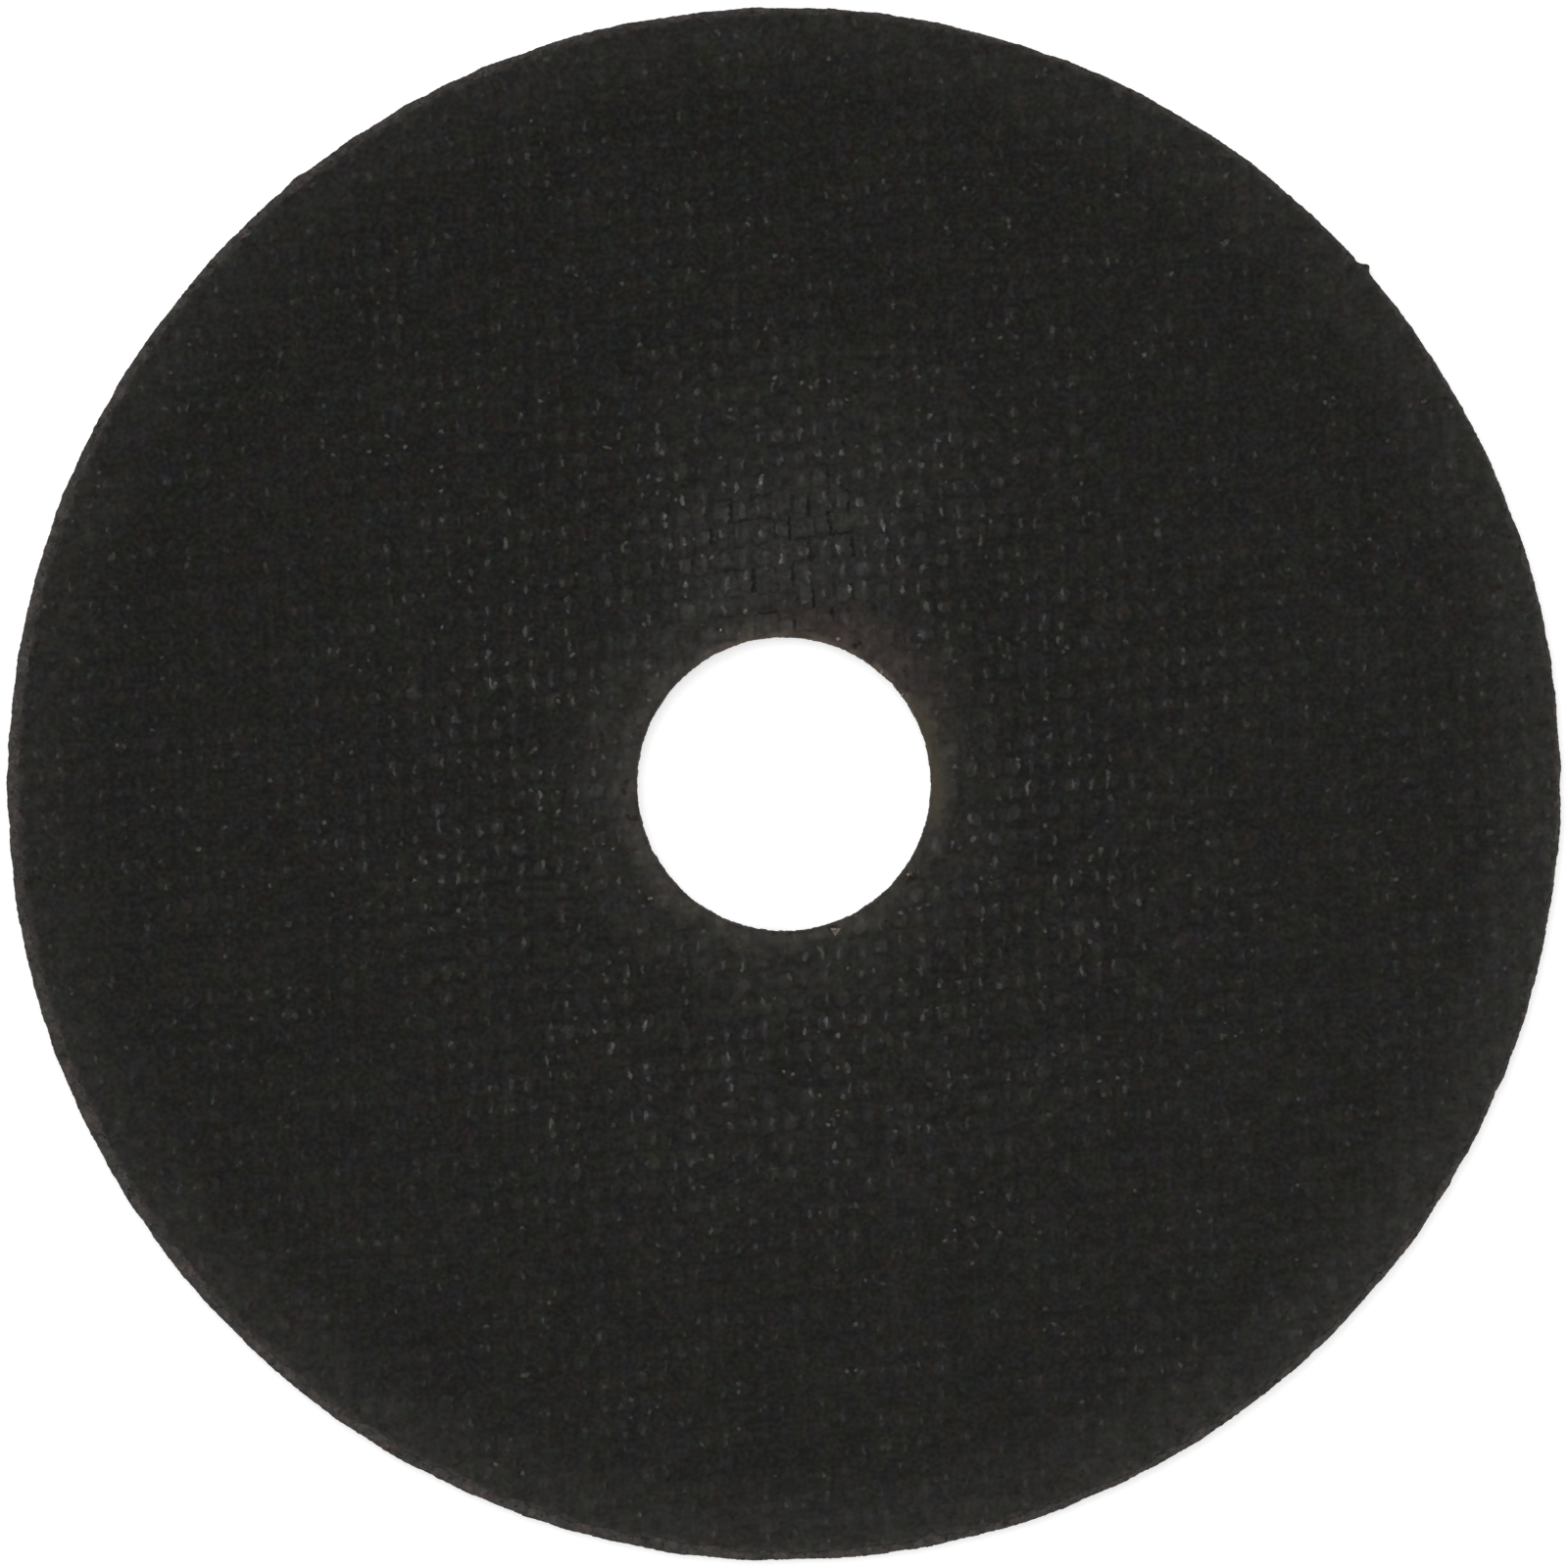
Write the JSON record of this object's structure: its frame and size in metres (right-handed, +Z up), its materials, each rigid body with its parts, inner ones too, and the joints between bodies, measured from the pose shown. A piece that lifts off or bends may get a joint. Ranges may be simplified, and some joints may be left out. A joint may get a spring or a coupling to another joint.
{
  "type": "cut off wheel",
  "caption": "Thin round cut-off wheel of black resin-bonded abrasive, faced with woven glass cloth, with a plain central bore for a grinder's arbor.",
  "frame": {"origin": "middle of the bore at the wheel's bottom face, which is the surface it lies on", "axes": "+Z up along the wheel's axis; +Y is the top of the picture and +X its right"},
  "size_m": [0.0508, 0.0508, 0.0016],
  "materials": {
    "bonded_abrasive": "black resin bond over woven glass cloth, dull with small glints on the threads, raw brown grain at the rim and the bore"
  },
  "bodies": {
    "root": {"cut_off_wheel": "bonded_abrasive"}
  },
  "joints": []
}
